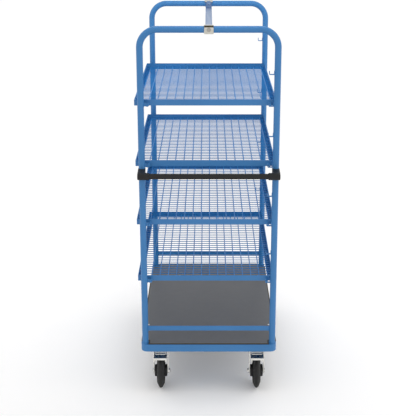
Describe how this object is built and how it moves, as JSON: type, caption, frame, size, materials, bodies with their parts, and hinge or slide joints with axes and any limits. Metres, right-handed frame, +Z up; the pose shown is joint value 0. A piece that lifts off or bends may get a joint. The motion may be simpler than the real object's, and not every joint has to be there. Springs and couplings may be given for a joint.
{
  "type": "shelf trolley",
  "caption": "Platform trolley with tubular end frames, tilting wire mesh shelves, a push handle, a tie strap and swivelling braked castors.",
  "frame": {"origin": "on the floor, under the middle of the trolley's outline", "axes": "+X to the side with the hooks, -Y to the end with the push handle, +Z up"},
  "size_m": [0.62, 1.0666, 1.6593],
  "materials": {
    "frame_paint": "satin blue powder coat",
    "wire_paint": "satin blue powder coat on welded wire",
    "deck_board": "dark grey film faced plywood with a fine anti-slip print",
    "zinc_steel": "bright zinc plate",
    "strap_zinc": "galvanised strip",
    "handle_sleeve": "black ribbed plastic sleeve",
    "handle_plastic": "black moulded plastic",
    "hub_plastic": "black moulded wheel centre",
    "tyre_rubber": "black solid rubber"
  },
  "bodies": {
    "frame": {"deck_frame": "frame_paint", "deck_board": "deck_board", "deck_bolt_1": "zinc_steel", "deck_bolt_2": "zinc_steel", "deck_bolt_3": "zinc_steel", "deck_bolt_4": "zinc_steel", "near_end_frame": "frame_paint", "far_end_frame": "frame_paint", "near_cross_bar": "frame_paint", "far_cross_bar": "frame_paint", "top_strap": "strap_zinc", "near_strap_clamp": "zinc_steel", "far_strap_clamp": "zinc_steel", "near_strap_bolt": "zinc_steel", "far_strap_bolt": "zinc_steel", "handle_bar": "handle_sleeve", "left_handle_bracket": "handle_plastic", "right_handle_bracket": "handle_plastic", "near_left_castor_plate": "zinc_steel", "near_right_castor_plate": "zinc_steel", "far_left_fork": "zinc_steel", "far_right_fork": "zinc_steel", "far_left_axle": "zinc_steel", "far_right_axle": "zinc_steel"},
    "shelf_1": {"shelf_frame_1": "frame_paint", "shelf_mesh_1": "wire_paint"},
    "shelf_2": {"shelf_frame_2": "frame_paint", "shelf_mesh_2": "wire_paint"},
    "shelf_3": {"shelf_frame_3": "frame_paint", "shelf_mesh_3": "wire_paint"},
    "shelf_4": {"shelf_frame_4": "frame_paint", "shelf_mesh_4": "wire_paint"},
    "near_left_castor": {"near_left_fork": "zinc_steel", "near_left_axle": "zinc_steel"},
    "near_right_castor": {"near_right_fork": "zinc_steel", "near_right_axle": "zinc_steel"},
    "near_left_wheel": {"near_left_tyre": "tyre_rubber", "near_left_hub": "hub_plastic"},
    "near_right_wheel": {"near_right_tyre": "tyre_rubber", "near_right_hub": "hub_plastic"},
    "far_left_wheel": {"far_left_tyre": "tyre_rubber", "far_left_hub": "hub_plastic"},
    "far_right_wheel": {"far_right_tyre": "tyre_rubber", "far_right_hub": "hub_plastic"},
    "near_left_brake": {"near_left_brake_pedal": "zinc_steel"},
    "near_right_brake": {"near_right_brake_pedal": "zinc_steel"}
  },
  "joints": [
    {"name": "shelf_1_tilt", "type": "hinge", "parent": "frame", "child": "shelf_1", "pos_m": [-0.253, 0.0272, 1.328], "axis": [0, -1, 0], "range_deg": [0, 15]},
    {"name": "shelf_2_tilt", "type": "hinge", "parent": "frame", "child": "shelf_2", "pos_m": [-0.253, 0.0272, 1.0637], "axis": [0, -1, 0], "range_deg": [0, 15]},
    {"name": "shelf_3_tilt", "type": "hinge", "parent": "frame", "child": "shelf_3", "pos_m": [-0.253, 0.0272, 0.7994], "axis": [0, -1, 0], "range_deg": [0, 15]},
    {"name": "shelf_4_tilt", "type": "hinge", "parent": "frame", "child": "shelf_4", "pos_m": [-0.253, 0.0272, 0.5351], "axis": [0, -1, 0], "range_deg": [0, 15]},
    {"name": "near_left_swivel", "type": "hinge", "parent": "frame", "child": "near_left_castor", "pos_m": [-0.214, -0.3728, 0.18], "axis": [0, 0, 1], "continuous": true},
    {"name": "near_right_swivel", "type": "hinge", "parent": "frame", "child": "near_right_castor", "pos_m": [0.224, -0.3728, 0.18], "axis": [0, 0, 1], "continuous": true},
    {"name": "near_left_wheel_spin", "type": "hinge", "parent": "near_left_castor", "child": "near_left_wheel", "pos_m": [-0.214, -0.4228, 0.08], "axis": [1, 0, 0], "continuous": true},
    {"name": "near_right_wheel_spin", "type": "hinge", "parent": "near_right_castor", "child": "near_right_wheel", "pos_m": [0.224, -0.4228, 0.08], "axis": [1, 0, 0], "continuous": true},
    {"name": "far_left_wheel_spin", "type": "hinge", "parent": "frame", "child": "far_left_wheel", "pos_m": [-0.214, 0.4272, 0.08], "axis": [1, 0, 0], "continuous": true},
    {"name": "far_right_wheel_spin", "type": "hinge", "parent": "frame", "child": "far_right_wheel", "pos_m": [0.224, 0.4272, 0.08], "axis": [1, 0, 0], "continuous": true},
    {"name": "near_left_brake_press", "type": "hinge", "parent": "near_left_castor", "child": "near_left_brake", "pos_m": [-0.214, -0.4108, 0.178], "axis": [1, 0, 0], "range_deg": [0, 7]},
    {"name": "near_right_brake_press", "type": "hinge", "parent": "near_right_castor", "child": "near_right_brake", "pos_m": [0.224, -0.4108, 0.178], "axis": [1, 0, 0], "range_deg": [0, 7]}
  ]
}
